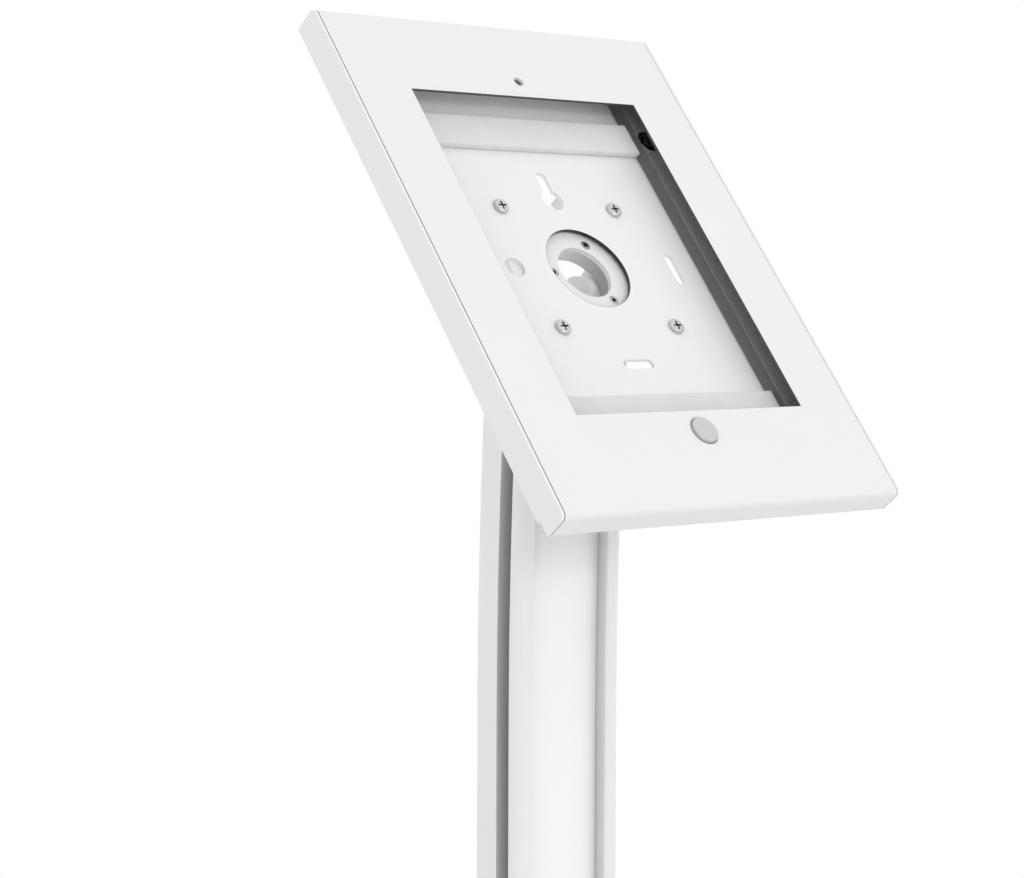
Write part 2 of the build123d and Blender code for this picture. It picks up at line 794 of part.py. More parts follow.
with BuildPart() as front_cover:
    with BuildSketch(side.offset(-cover_half_width)):
        with BuildLine():
            Polyline(
                (-case_bottom, -cover_bottom_depth),
                (-case_bottom, 0),
                (case_top, 0),
                (case_top, -cover_top_depth),
                (case_top - cover_sheet, -cover_top_depth),
                (case_top - cover_sheet, -cover_sheet),
                (cover_sheet - case_bottom, -cover_sheet),
                (cover_sheet - case_bottom, -cover_bottom_depth),
                close=True,
            )
        make_face()
        fillet(vertices().group_by(Axis.Y)[-1], radius=front_bend_radius)
        fillet(vertices().group_by(Axis.Y)[-2], radius=front_bend_radius - cover_sheet)
    extrude(amount=2 * cover_half_width)
    with BuildSketch(at_depth(cover_sheet)):
        with Locations((0, -window_drop)):
            RectangleRounded(window_width, window_height, window_corner)
        with Locations((0, lens_hole_rise)):
            Circle(lens_hole_radius)
        with Locations((0, -button_drop)):
            Circle(button_hole_radius)
    extrude(amount=cover_sheet, mode=Mode.SUBTRACT)
    for place in hinge_places(1):
        hinge_knuckle(place)
        with BuildSketch(side.offset(place - hinge_segment / 2 + hinge_side_gap / 2)):
            with Locations((hinge_rise / 2 - case_bottom, cover_sheet / 2 - cover_bottom_depth)):
                Rectangle(hinge_rise, cover_sheet)
        extrude(amount=hinge_segment - hinge_side_gap)
    with BuildSketch(side.offset(-bend_start)):
        with Locations((hinge_height, -hinge_depth)):
            Circle(hinge_pin_radius + running_gap / 2)
    extrude(amount=2 * bend_start, mode=Mode.SUBTRACT)
finish(front_cover, "front_cover")

with BuildPart() as cover_hinge_pin:
    with BuildSketch(side.offset(-hinge_segments * hinge_segment / 2)):
        with Locations((hinge_height, -hinge_depth)):
            Circle(hinge_pin_radius)
    extrude(amount=hinge_segments * hinge_segment)
finish(cover_hinge_pin, "cover_hinge_pin")

with BuildPart() as vesa_screws:
    with BuildSketch(at_depth(shell_floor)):
        with GridLocations(vesa_pitch, vesa_pitch, 2, 2):
            Circle(vesa_head_radius)
    extrude(amount=vesa_head_height)
    fillet(edges().group_by(Axis(face.origin, outward))[-1], radius=vesa_head_round)
    with BuildSketch(at_depth(shell_floor)):
        with GridLocations(vesa_pitch, vesa_pitch, 2, 2):
            Circle(vesa_screw_radius - running_gap)
    extrude(amount=-vesa_screw_length)
    with BuildSketch(at_depth(shell_floor - vesa_head_height)):
        with GridLocations(vesa_pitch, vesa_pitch, 2, 2):
            Rectangle(cross_length, cross_width)
            Rectangle(cross_width, cross_length)
    extrude(amount=-cross_depth, mode=Mode.SUBTRACT)
finish(vesa_screws, "vesa_screws")


# Pads above and below the tablet, and bevelled liners down both sides

def pad(start, name):
    """A foam pad across the shell, from this height along the face upwards."""
    with BuildPart() as strip:
        with BuildSketch(at_depth(shell_floor)):
            with Locations((0, start + pad_width / 2)):
                Rectangle(2 * pad_half_length, pad_width)
        extrude(amount=pad_thickness)
        fillet(edges().group_by(Axis(face.origin, outward))[-1], radius=pad_round)
    finish(strip, name)


pad(upper_pad_rise, "upper_pad")
pad(-lower_pad_drop - pad_width, "lower_pad")


def liner_block(towards):
    """A bevelled foam liner down one side, notched for the ends of both pads."""
    across = Plane(
        origin=face.origin - face.y_dir * case_middle_drop,
        x_dir=face.x_dir * towards,
        z_dir=face.y_dir * towards,
    )
    with BuildPart() as block:
        with BuildSketch(across):
            with BuildLine():
                Polyline(
                    (liner_foot, shell_floor),
                    (liner_foot + liner_bevel, pad_face),
                    (liner_outer, pad_face),
                    (liner_outer, shell_floor),
                    close=True,
                )
            make_face()
        extrude(amount=liner_half_length, both=True)
        with BuildSketch(at_depth(shell_floor)):
            for start in (upper_pad_rise, -lower_pad_drop - pad_width):
                with Locations((0, start + pad_width / 2)):
                    Rectangle(2 * (pad_half_length + seat_gap), pad_width + 2 * seat_gap)
        extrude(amount=pad_thickness, mode=Mode.SUBTRACT)
    return block.part


with BuildPart() as left_liner:
    add(liner_block(-1))
finish(left_liner, "left_liner")

with BuildPart() as right_liner:
    add(liner_block(1))
    with BuildSketch(at_depth(pad_face)):
        with Locations((lock_offset, lock_rise)):
            Circle(lock_hole_radius)
    extrude(amount=-pad_thickness, mode=Mode.SUBTRACT)
    with BuildSketch(at_depth(cam_pocket_ceiling)):
        with Locations((lock_offset, lock_rise)):
            Circle(cam_pocket_radius)
        with Locations((
            (lock_offset - cam_pocket_side + liner_outer) / 2,
            lock_rise + (cam_pocket_reach - cam_pocket_side) / 2,
        )):
            Rectangle(
                liner_outer - lock_offset + cam_pocket_side, cam_pocket_reach + cam_pocket_side
            )
    extrude(amount=-pad_thickness, mode=Mode.SUBTRACT)
finish(right_liner, "right_liner")


# Lock: a housing in the shell, a plug that turns in it with the cam, and the cover's keeper

with BuildPart() as lock_housing:
    with BuildSketch(at_depth(case_depth)):
        with Locations((lock_offset, lock_rise)):
            Circle(lock_flange_radius)
    extrude(amount=-lock_flange_thickness)
    chamfer(edges().group_by(Axis(face.origin, outward))[0], length=lock_flange_chamfer)
    with BuildSketch(at_depth(case_depth)):
        with Locations((lock_offset, lock_rise)):
            Circle(lock_body_radius)
    extrude(amount=case_depth - lock_nose_depth)
    with BuildSketch(at_depth(lock_nose_depth)):
        with Locations((lock_offset, lock_rise)):
            Circle(lock_plug_radius + running_gap)
    extrude(amount=-(case_depth + lock_flange_thickness - lock_nose_depth), mode=Mode.SUBTRACT)
finish(lock_housing, "lock_housing")

with BuildPart() as lock_retaining_ring:
    with BuildSketch(at_depth(shell_floor)):
        with Locations((lock_offset, lock_rise)):
            Circle(lock_ring_radius)
            Circle(lock_body_radius + running_gap / 2, mode=Mode.SUBTRACT)
    extrude(amount=lock_ring_thickness)
finish(lock_retaining_ring, "lock_retaining_ring")

plug_back = case_depth + lock_flange_thickness - lock_plug_inset
cam_back = cam_depth + cam_thickness

with BuildPart() as lock_plug:
    with BuildSketch(at_depth(plug_back)):
        with Locations((lock_offset, lock_rise)):
            Circle(lock_plug_radius)
            Circle(key_slot_radius, mode=Mode.SUBTRACT)
            Circle(key_slot_radius - key_slot_width)
    extrude(amount=key_slot_depth)
    with BuildSketch(at_depth(plug_back - key_slot_depth)):
        with Locations((lock_offset, lock_rise)):
            Circle(lock_plug_radius)
    extrude(amount=plug_back - key_slot_depth - cam_back - running_gap)
    with BuildSketch(at_depth(cam_back + running_gap)):
        with Locations((lock_offset, lock_rise)):
            Rectangle(lock_square, lock_square)
    extrude(amount=cam_thickness + running_gap)
    with Locations(at_depth(cam_depth)):
        with Locations((lock_offset, lock_rise)):
            Hole(cam_screw_radius, depth=cam_screw_length)
finish(lock_plug, "lock_plug")

with BuildPart() as lock_cam:
    with BuildSketch(at_depth(cam_back)):
        with Locations((lock_offset, lock_rise)):
            Circle(cam_hub_radius)
        with Locations((lock_offset, lock_rise + cam_reach / 2)):
            Rectangle(2 * cam_half_width, cam_reach)
        fillet(vertices().group_by(Axis.Y)[-1], radius=cam_tip_round)
        with Locations((lock_offset, lock_rise)):
            Rectangle(
                lock_square + 2 * running_gap, lock_square + 2 * running_gap, mode=Mode.SUBTRACT
            )
    extrude(amount=cam_thickness)
finish(lock_cam, "lock_cam")

with BuildPart() as cam_screw:
    with BuildSketch(at_depth(cam_depth)):
        with Locations((lock_offset, lock_rise)):
            Circle(cam_screw_head_radius)
    extrude(amount=cam_screw_head_height)
    chamfer(edges().group_by(Axis(face.origin, outward))[-1], length=cam_screw_chamfer)
    with BuildSketch(at_depth(cam_depth)):
        with Locations((lock_offset, lock_rise)):
            Circle(cam_screw_radius - running_gap / 2)
    extrude(amount=-(cam_screw_length - running_gap))
finish(cam_screw, "cam_screw")

keeper_top = lock_rise - cam_half_width - keeper_stem_gap
keeper_foot_depth = cam_back + keeper_foot_gap

with BuildPart() as lock_keeper:
    with BuildSketch(side.offset(keeper_inner)):
        with BuildLine():
            Polyline(
                (keeper_top - keeper_flange_length, -cover_sheet),
                (keeper_top, -cover_sheet),
                (keeper_top, -keeper_foot_depth),
                (keeper_top + keeper_length, -keeper_foot_depth),
                (keeper_top + keeper_length, -keeper_foot_depth - keeper_foot_thickness),
                (keeper_top - keeper_stem_thickness, -keeper_foot_depth - keeper_foot_thickness),
                (keeper_top - keeper_stem_thickness, -cover_sheet - keeper_flange_thickness),
                (keeper_top - keeper_flange_length, -cover_sheet - keeper_flange_thickness),
                close=True,
            )
        make_face()
    extrude(amount=keeper_width)
finish(lock_keeper, "lock_keeper")


# Home button: a cap that slides in the cover, its retainer behind, and a flat spring between

def button_disc(depth, radius):
    """A circle round the home button's axis, on the plane at this depth."""
    with BuildSketch(at_depth(depth)) as disc:
        with Locations((0, -button_drop)):
            Circle(radius)
    return disc.sketch


with BuildPart() as home_button:
    extrude(button_disc(flange_depth, button_radius), amount=flange_depth + button_proud)
    fillet(edges().group_by(Axis(face.origin, outward))[-1], radius=button_dome_round)
    extrude(
        button_disc(flange_depth, button_flange_radius), amount=-button_flange_thickness,
    )
    extrude(
        button_disc(flange_depth, button_stem_radius),
        amount=-(retainer_depth - flange_depth + retainer_floor + button_stem_proud),
    )
finish(home_button, "home_button")

with BuildPart() as button_retainer:
    back = retainer_depth + retainer_floor
    extrude(button_disc(back, retainer_radius), amount=back - cover_sheet)
    with BuildSketch(at_depth(cover_sheet + retainer_floor)):
        with Locations((retainer_lobe_offset, -button_drop), (-retainer_lobe_offset, -button_drop)):
            Circle(retainer_lobe_radius)
    extrude(amount=retainer_floor)
    extrude(
        button_disc(retainer_depth, retainer_radius - retainer_wall),
        amount=retainer_depth - cover_sheet, mode=Mode.SUBTRACT,
    )
    extrude(button_disc(back, button_stem_radius + button_gap), amount=back, mode=Mode.SUBTRACT)
finish(button_retainer, "button_retainer")

# The spring is drawn flat, as it is with the button pressed in, so that the button can move
with BuildPart() as button_spring:
    extrude(button_disc(retainer_depth, spring_outer), amount=spring_thickness)
    extrude(
        button_disc(retainer_depth, spring_inner), amount=spring_thickness, mode=Mode.SUBTRACT
    )
finish(button_spring, "button_spring")
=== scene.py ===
# The looks of a locking tablet floor stand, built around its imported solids.
# Lengths are metres, in the solids' own frame: +Z is up and -Y is the side that the tablet faces.

import json
import math

import bpy
from mathutils import Matrix, Vector, noise


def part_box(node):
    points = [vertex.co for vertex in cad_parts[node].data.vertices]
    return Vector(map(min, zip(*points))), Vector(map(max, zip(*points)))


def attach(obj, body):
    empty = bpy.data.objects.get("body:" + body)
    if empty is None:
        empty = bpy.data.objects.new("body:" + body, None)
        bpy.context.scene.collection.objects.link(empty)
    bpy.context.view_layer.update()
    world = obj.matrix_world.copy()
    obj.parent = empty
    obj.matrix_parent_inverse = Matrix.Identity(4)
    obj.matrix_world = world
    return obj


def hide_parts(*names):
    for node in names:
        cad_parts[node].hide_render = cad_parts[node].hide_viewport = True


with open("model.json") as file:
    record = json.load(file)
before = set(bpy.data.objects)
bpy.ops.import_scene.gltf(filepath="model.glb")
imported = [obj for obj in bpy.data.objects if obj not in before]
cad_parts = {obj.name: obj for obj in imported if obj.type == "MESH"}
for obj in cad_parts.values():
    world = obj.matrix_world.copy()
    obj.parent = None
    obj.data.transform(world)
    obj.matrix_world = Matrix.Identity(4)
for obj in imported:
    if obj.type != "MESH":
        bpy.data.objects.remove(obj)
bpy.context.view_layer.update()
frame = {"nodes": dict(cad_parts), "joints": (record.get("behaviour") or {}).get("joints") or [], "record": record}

MM = 0.001
nodes = frame["nodes"]
joints = {joint["name"]: joint for joint in frame["joints"]}

# The tablet's face: its origin is on the swivel axis, x runs across, y up the face, z out of it
face_origin = Vector(joints["case_swivel"]["pos_m"])
outward = Vector(joints["case_swivel"]["axis"]).normalized()
across = Vector((1, 0, 0))
up_face = outward.cross(across)
face = Matrix.Translation(face_origin) @ Matrix((across, up_face, outward)).transposed().to_4x4()

# Camera, fitted to the window's corners, the screws, the camera hole and the home button
photo_width = 1024
focal_pixels = 2385.63
sensor_width = 36.0
camera_from_face = Vector((-0.79128, -0.867777, -0.025364))
camera_azimuth = math.radians(-40.116)
camera_elevation = math.radians(3.382)
camera_roll = math.radians(0.200)
nearest_seen = 0.01
farthest_seen = 100

# Light
plain_white = (1, 1, 1, 1)
sky_level = 0.93
background_level = 1.0
key_direction = Vector((0.0, -1.0, 0.22)).normalized()
key_distance = 3.0
key_size = 0.7
key_power = 11.0

# Floor
floor_radius = 3.0
floor_corners = 96
floor_colour = (0.82, 0.82, 0.82)
floor_roughness = 0.6
floor_fade_start = 0.35
floor_fade_end = 1.1

# Colours of coats, plastics, metals and foam
sheet_colour = (0.86, 0.86, 0.86)
shell_colour = (0.89, 0.89, 0.89)
casting_colour = (0.85, 0.85, 0.85)
strip_colour = (0.955, 0.955, 0.955)
base_cover_colour = (0.87, 0.87, 0.87)
rubber_colour = (0.03, 0.03, 0.032)
nylon_colour = (0.78, 0.78, 0.75)
button_colour = (0.58, 0.585, 0.59)
plated_steel_colour = (0.66, 0.67, 0.68)
screw_colour = (0.70, 0.70, 0.71)
hub_screw_colour = (0.50, 0.50, 0.51)
nickel_colour = (0.72, 0.72, 0.73)
black_nickel_colour = (0.16, 0.16, 0.165)
pad_colour = (0.77, 0.77, 0.78)
liner_colour = (0.15, 0.15, 0.153)

# Painted shade in crevices, grooves and under the head: how far it reaches and the share of the colour left
crevice_samples = 8
tight_view = 0.1
groove_reach = 14 * MM
groove_tone = 0.62
leg_shade_reach = 60 * MM
leg_shade_tone = 0.60
strip_shade_reach = 110 * MM
strip_shade_tone = 0.45
strip_clear_view = 0.88
screw_recess_reach = 3.0 * MM
screw_recess_tone = 0.10
lock_reach = 16 * MM
lock_tone = 0.05

# Painted shade on lines and rims
mask_blur = 0.08 * MM
seam_width = 0.02 * MM
seam_shade_colour = (0.035, 0.035, 0.036)
window_half_width = 73.9 * MM
window_half_height = 98.5 * MM
window_middle = -0.9 * MM
cut_edge_shade_colour = (0.06, 0.06, 0.062)
swivel_shade_radius = 29.3 * MM
shell_window_radius = 24.6 * MM
hub_gap_shade_colour = (0.015, 0.015, 0.015)
bore_radius = 15.6 * MM
bore_shade_side = Vector((0.9, -0.44, 0))
bore_shade_start = -12 * MM
bore_shade_end = 18 * MM
bore_shade_colour = (0.30, 0.30, 0.30)
button_drop = 111.25 * MM
button_cap_radius = 7.5 * MM
button_rim_width = 0.8 * MM
button_rim_shade_colour = (0.42, 0.425, 0.43)

# Foam
foam_cell = 0.7 * MM
foam_pit = 0.025 * MM
foam_voxel = 0.8 * MM
foam_soften = 0.5
foam_soften_passes = 4
foam_bump = 0.06 * MM
foam_waves = 180
foam_fine_waves = 420
foam_fine_share = 0.5
# Painted light on the liner beyond its crest, and a painted highlight along the crest
liner_crest_offset = 80 * MM
liner_crest_width = 0.5 * MM
liner_painted_light_colour = (0.30, 0.30, 0.305)
liner_crest_highlight_colour = (0.5, 0.5, 0.505)

# Facets of the solids
weld_distance = 0.001 * MM
smooth_angle = math.radians(32)


# Shader helpers

def place_on_piece(tree):
    """The place on the piece, in metres in the solids' frame, as the piece stands at rest."""
    return tree.nodes.new("ShaderNodeTexCoord").outputs["Object"]


def start_material(name, colour, roughness, metallic=0.0):
    """A new node material, with its tree, its shader and the place on the piece."""
    material = bpy.data.materials.new(name)
    material.use_nodes = True
    tree = material.node_tree
    shader = tree.nodes["Principled BSDF"]
    shader.inputs["Base Color"].default_value = (*colour, 1)
    shader.inputs["Roughness"].default_value = roughness
    shader.inputs["Metallic"].default_value = metallic
    return material, tree, shader, place_on_piece(tree)


def noise_of(tree, place, waves, detail=4.0, roughness=0.5):
    """Smooth noise from 0 to 1, with this many waves to the metre."""
    node = tree.nodes.new("ShaderNodeTexNoise")
    node.inputs["Scale"].default_value = waves
    node.inputs["Detail"].default_value = detail
    node.inputs["Roughness"].default_value = roughness
    tree.links.new(place, node.inputs["Vector"])
    return node.outputs["Fac"]


def spread(tree, value, low, high, from_low=0.3, from_high=0.7):
    """A value mapped to run from low to high. Noise mostly lies from 0.3 to 0.7."""
    node = tree.nodes.new("ShaderNodeMapRange")
    node.inputs["From Min"].default_value = from_low
    node.inputs["From Max"].default_value = from_high
    node.inputs["To Min"].default_value = low
    node.inputs["To Max"].default_value = high
    tree.links.new(value, node.inputs["Value"])
    return node.outputs["Result"]


def calculate(tree, operation, first, second):
    """One step of arithmetic on two values, the second of which may be a number."""
    node = tree.nodes.new("ShaderNodeMath")
    node.operation = operation
    tree.links.new(first, node.inputs[0])
    if isinstance(second, float):
        node.inputs[1].default_value = second
    else:
        tree.links.new(second, node.inputs[1])
    return node.outputs["Value"]


def both(tree, first, second):
    """A mask that is 1 where both masks are 1."""
    return calculate(tree, "MULTIPLY", first, second)


def either(tree, first, second):
    """A mask that is 1 where either mask is 1."""
    return calculate(tree, "MAXIMUM", first, second)


def between(tree, factor, first, second):
    """A colour that runs from the first to the second with the factor."""
    node = tree.nodes.new("ShaderNodeMix")
    node.data_type = "RGBA"
    tree.links.new(factor, node.inputs["Factor"])
    for socket, colour in (("A", first), ("B", second)):
        target = next(s for s in node.inputs if s.name == socket and s.type == "RGBA")
        if isinstance(colour, tuple):
            target.default_value = (*colour, 1)
        else:
            tree.links.new(colour, target)
    return next(s for s in node.outputs if s.type == "RGBA")


def shade(colour, share):
    """A colour made darker or lighter by this share."""
    return tuple(channel * share for channel in colour)


def cloud(tree, pattern, colour, share):
    """The colour, made darker by this share where the pattern is low."""
    return between(tree, spread(tree, pattern, 0, 1), shade(colour, share), colour)


def vary_roughness(tree, shader, pattern, low, high):
    """Let the roughness run from low to high with the pattern."""
    tree.links.new(spread(tree, pattern, low, high), shader.inputs["Roughness"])


def raise_surface(tree, shader, height, distance):
    """Bump the shader's normal by this height, on top of the bumps already there."""
    node = tree.nodes.new("ShaderNodeBump")
    node.inputs["Strength"].default_value = 1.0
    node.inputs["Distance"].default_value = distance
    tree.links.new(height, node.inputs["Height"])
    before = shader.inputs["Normal"].links
    if before:
        tree.links.new(before[0].from_socket, node.inputs["Normal"])
    tree.links.new(node.outputs["Normal"], shader.inputs["Normal"])


def paint_crevice_shade(material, reach, share, clear_view=0.75):
    """Paint shade into the colour, darkening it towards this share of itself where the surface is closed in.

    Where at least the clear part of the view from the surface is open, the colour stays.
    """
    tree = material.node_tree
    shader = tree.nodes["Principled BSDF"]
    colour = shader.inputs["Base Color"].links[0].from_socket
    closed = tree.nodes.new("ShaderNodeAmbientOcclusion")
    closed.samples = crevice_samples
    closed.inputs["Distance"].default_value = reach
    depth = spread(tree, closed.outputs["AO"], share, 1.0, tight_view, clear_view)
    darker = tree.nodes.new("ShaderNodeVectorMath")
    darker.operation = "SCALE"
    tree.links.new(colour, darker.inputs[0])
    tree.links.new(depth, darker.inputs["Scale"])
    tree.links.new(darker.outputs["Vector"], shader.inputs["Base Color"])


def tint_where(material, mask, colour):
    """Give the material this colour where the mask is 1."""
    tree = material.node_tree
    target = tree.nodes["Principled BSDF"].inputs["Base Color"]
    before = target.links[0].from_socket
    tree.links.new(between(tree, mask, before, colour), target)


def place_on_face(tree, origin):
    """The place on the piece, measured from this point across, up and out of the face."""
    mapping = tree.nodes.new("ShaderNodeMapping")
    mapping.vector_type = "TEXTURE"
    mapping.inputs["Location"].default_value = origin
    mapping.inputs["Rotation"].default_value = face.to_euler()
    tree.links.new(place_on_piece(tree), mapping.inputs["Vector"])
    return mapping.outputs["Vector"]


def distance_from(tree, place, kept):
    """How far the place is from its origin, counting only the directions kept."""
    flat = tree.nodes.new("ShaderNodeVectorMath")
    flat.operation = "MULTIPLY"
    flat.inputs[1].default_value = kept
    tree.links.new(place, flat.inputs[0])
    length = tree.nodes.new("ShaderNodeVectorMath")
    length.operation = "LENGTH"
    tree.links.new(flat.outputs["Vector"], length.inputs[0])
    return length.outputs["Value"]


def distance_along(tree, place, direction):
    """How far the place lies from its origin in this direction."""
    node = tree.nodes.new("ShaderNodeVectorMath")
    node.operation = "DOT_PRODUCT"
    node.inputs[1].default_value = direction
    tree.links.new(place, node.inputs[0])
    return node.outputs["Value"]


def beyond(tree, distance, edge):
    """A mask that is 1 beyond this distance and 0 before it."""
    return spread(tree, distance, 0, 1, edge - mask_blur, edge + mask_blur)


def within(tree, distance, edge):
    """A mask that is 1 up to this distance and 0 beyond it."""
    return spread(tree, distance, 1, 0, edge - mask_blur, edge + mask_blur)


# Kinds of material

def powder_coat(name, colour, roughness=0.36, peel=0.014 * MM):
    """Baked powder on sheet metal: a fine orange peel, slow waves and faint cloudiness."""
    cloud_share = 0.975
    speckle_share = 0.93
    most_speckle = 0.35
    smoother = 0.05
    rougher = 0.07
    material, tree, shader, place = start_material(name, colour, roughness)
    tone = cloud(tree, noise_of(tree, place, waves=9.0, detail=3.0), colour, cloud_share)
    speckle = noise_of(tree, place, waves=2600.0, detail=2.0)
    speckled = spread(tree, speckle, 0.0, most_speckle)
    grain = between(tree, speckled, tone, shade(colour, speckle_share))
    tree.links.new(grain, shader.inputs["Base Color"])
    patches = noise_of(tree, place, waves=45.0)
    vary_roughness(tree, shader, patches, roughness - smoother, roughness + rougher)
    raise_surface(tree, shader, noise_of(tree, place, waves=1300.0, detail=2.0), peel)
    raise_surface(tree, shader, noise_of(tree, place, waves=260.0, detail=2.0), peel * 2)
    return material


def moulded(name, colour, roughness, grain):
    """Moulded or extruded plastic: a grain of this height and soft blotches of gloss."""
    cloud_share = 0.98
    smoother = 0.04
    rougher = 0.05
    material, tree, shader, place = start_material(name, colour, roughness)
    tone = cloud(tree, noise_of(tree, place, waves=14.0, detail=3.0), colour, cloud_share)
    tree.links.new(tone, shader.inputs["Base Color"])
    patches = noise_of(tree, place, waves=60.0)
    vary_roughness(tree, shader, patches, roughness - smoother, roughness + rougher)
    raise_surface(tree, shader, noise_of(tree, place, waves=1900.0, detail=3.0), grain)
    return material


def drawn_metal(name, colour, roughness):
    """Plated or machined metal: fine marks, smudged gloss and small changes of tone."""
    smudge_share = 0.82
    smoother = 0.06
    rougher = 0.12
    mark_depth = 0.008 * MM
    material, tree, shader, place = start_material(name, colour, roughness, metallic=1.0)
    tone = cloud(tree, noise_of(tree, place, waves=300.0), colour, smudge_share)
    tree.links.new(tone, shader.inputs["Base Color"])
    marks = noise_of(tree, place, waves=1800.0, roughness=0.65)
    vary_roughness(tree, shader, marks, roughness - smoother, roughness + rougher)
    raise_surface(tree, shader, marks, mark_depth)
    return material


def foam(name, colour):
    """Closed-cell foam: a skin of fine cells with darker pores, and a little sheen."""
    roughness = 0.82
    low_share = 0.97
    high_share = 1.02
    cell_edge = 0.8
    pore_depth = 0.25
    pore_edge = 0.5
    pore_share = 0.7
    material, tree, shader, place = start_material(name, colour, roughness)
    shader.inputs["Sheen Weight"].default_value = 0.15
    cells = tree.nodes.new("ShaderNodeTexVoronoi")
    cells.inputs["Scale"].default_value = 1 / foam_cell
    tree.links.new(place, cells.inputs["Vector"])
    edge = spread(tree, cells.outputs["Distance"], 0, 1, 0.0, cell_edge)
    clouds = spread(tree, noise_of(tree, place, waves=60.0, detail=5.0), 0, 1)
    tone = between(tree, clouds, shade(colour, low_share), shade(colour, high_share))
    pores = spread(tree, edge, pore_depth, 0.0, 0.0, pore_edge)
    skin = between(tree, pores, tone, shade(colour, pore_share))
    tree.links.new(skin, shader.inputs["Base Color"])
    raise_surface(tree, shader, edge, foam_pit)
    raise_surface(tree, shader, noise_of(tree, place, waves=500.0), foam_pit)
    return material


# Materials of the stand

def post_coat():
    """The post's coat, with painted shade in its grooves and under the head."""
    material = powder_coat("white_post", sheet_colour, roughness=0.33, peel=0.010 * MM)
    paint_crevice_shade(material, groove_reach, groove_tone)
    paint_crevice_shade(material, leg_shade_reach, leg_shade_tone)
    return material


def strip_plastic():
    """The cover strip's bright plastic, with painted shade under the head."""
    material = moulded("white_strip", strip_colour, roughness=0.38, grain=0.003 * MM)
    paint_crevice_shade(material, strip_shade_reach, strip_shade_tone, strip_clear_view)
    return material


def recessed_screw(name, colour):
    """A screw's steel, with painted shade in the recess of its head."""
    material = drawn_metal(name, colour, roughness=0.24)
    paint_crevice_shade(material, screw_recess_reach, screw_recess_tone)
    return material


def lock_metal(name, colour, roughness):
    """The lock's plated metal, with painted shade in the hollow of the lock."""
    material = drawn_metal(name, colour, roughness)
    paint_crevice_shade(material, lock_reach, lock_tone)
    return material


def casting_coat(name):
    """The thicker coat on the head's castings."""
    return powder_coat(name, casting_colour, roughness=0.42, peel=0.020 * MM)


def cover_sheet():
    """The cover's coated sheet, with painted shade on its left edge and round the cut edge of its window."""
    material = powder_coat("cover_sheet", sheet_colour)
    tree = material.node_tree
    place = place_on_face(tree, face_origin)
    left_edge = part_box("front_cover")[0][0] + seam_width
    left_edge_shade = within(tree, distance_along(tree, place, (1, 0, 0)), left_edge)
    tint_where(material, left_edge_shade, seam_shade_colour)
    middle = face @ Vector((0, window_middle, 0))
    side = distance_from(tree, place, (1, 0, 0))
    height = distance_from(tree, place_on_face(tree, middle), (0, 1, 0))
    opening = both(
        tree,
        within(tree, side, window_half_width + mask_blur),
        within(tree, height, window_half_height + mask_blur),
    )
    tint_where(material, opening, cut_edge_shade_colour)
    return material


def paint_shade_round_hub(material, outer_radius):
    """Paint shade round the hub, out to this radius."""
    tree = material.node_tree
    radius = distance_from(tree, place_on_face(tree, face_origin), (1, 1, 0))
    tint_where(material, within(tree, radius, outer_radius), hub_gap_shade_colour)


def shell_sheet():
    """The shell's coated sheet, with painted shade on the cut edge of its round window."""
    material = powder_coat("shell_sheet", shell_colour)
    paint_shade_round_hub(material, shell_window_radius)
    return material


def swivel_casting():
    """The swivel plate's casting, with painted shade where it turns on the hub."""
    material = casting_coat("swivel_casting")
    paint_shade_round_hub(material, swivel_shade_radius)
    return material


def hub_casting():
    """The tilt hub's casting, with painted shade on one side of its bore."""
    material = casting_coat("hub_casting")
    tree = material.node_tree
    place = place_on_face(tree, face_origin)
    side = distance_along(tree, place, bore_shade_side)
    shaded_side = spread(tree, side, 0, 1, bore_shade_start, bore_shade_end)
    inside = within(tree, distance_from(tree, place, (1, 1, 0)), bore_radius)
    tint_where(material, both(tree, shaded_side, inside), bore_shade_colour)
    return material


def liner_foam():
    """The dark foam of the liners, with painted light beyond its crest and a painted highlight along the crest."""
    faintest_highlight = 0.1
    strongest_highlight = 0.6
    material = foam("dark_foam", liner_colour)
    tree = material.node_tree
    place = place_on_piece(tree)
    side = distance_from(tree, place, (1, 0, 0))
    tint_where(material, beyond(tree, side, liner_crest_offset), liner_painted_light_colour)
    past_crest = calculate(tree, "SUBTRACT", side, liner_crest_offset)
    from_crest = calculate(tree, "ABSOLUTE", past_crest, 0.0)
    crest = spread(tree, from_crest, 1.0, 0.0, 0.0, liner_crest_width)
    highlight_breaks = spread(tree, noise_of(tree, place, waves=24.0, detail=2.0), faintest_highlight, strongest_highlight)
    tint_where(material, both(tree, crest, highlight_breaks), liner_crest_highlight_colour)
    return material


def button_plastic():
    """The home button's polished, slightly milky plastic, with painted shade round its rim."""
    material = moulded("button_plastic", button_colour, roughness=0.16, grain=0.002 * MM)
    tree = material.node_tree
    shader = tree.nodes["Principled BSDF"]
    shader.inputs["Subsurface Weight"].default_value = 0.25
    shader.inputs["Subsurface Radius"].default_value = (2 * MM, 2 * MM, 2 * MM)
    shader.inputs["Coat Weight"].default_value = 0.6
    shader.inputs["Coat Roughness"].default_value = 0.06
    middle = face @ Vector((0, -button_drop, 0))
    radius = distance_from(tree, place_on_face(tree, middle), (1, 1, 0))
    rim = button_cap_radius - button_rim_width
    ring = spread(tree, radius, 0, 1, rim, rim + button_rim_width / 2)
    tint_where(material, ring, button_rim_shade_colour)
    return material


